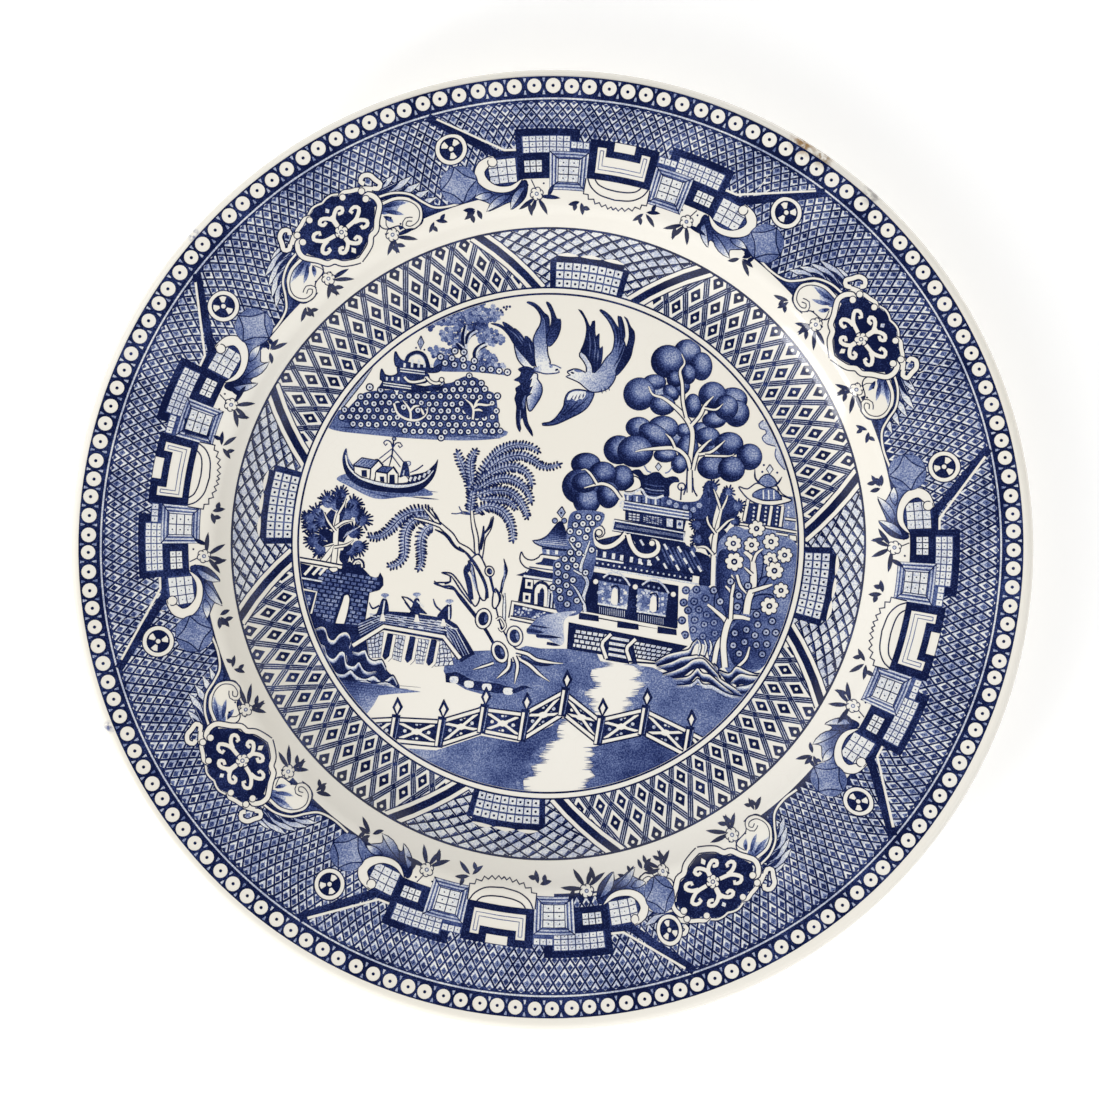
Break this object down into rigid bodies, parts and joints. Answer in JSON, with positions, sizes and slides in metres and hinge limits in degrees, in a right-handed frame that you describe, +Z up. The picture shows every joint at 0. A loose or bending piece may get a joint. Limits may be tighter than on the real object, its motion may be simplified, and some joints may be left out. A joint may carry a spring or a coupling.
{
  "type": "dinner plate",
  "caption": "Round earthenware dinner plate with a foot ring, a deep well, a gently rising rim and a blue transfer-printed face under clear glaze.",
  "frame": {"origin": "on the plate's axis, at the height of the surface that the foot ring stands on", "axes": "+Z up along the plate's axis; +Y towards the top of the printed scene, +X to the scene's right"},
  "size_m": [0.254, 0.254, 0.0233],
  "materials": {
    "biscuit": "fired unglazed earthenware, matt cream",
    "cobalt_print": "cobalt blue transfer print under the glaze",
    "glaze": "clear glossy glaze over a cream body, finely crazed"
  },
  "bodies": {
    "root": {"biscuit_body": "biscuit", "centre_scene_print": "cobalt_print", "well_border_print": "cobalt_print", "rim_border_print": "cobalt_print", "glaze_face_and_back": "glaze", "glaze_base": "glaze"}
  },
  "joints": []
}
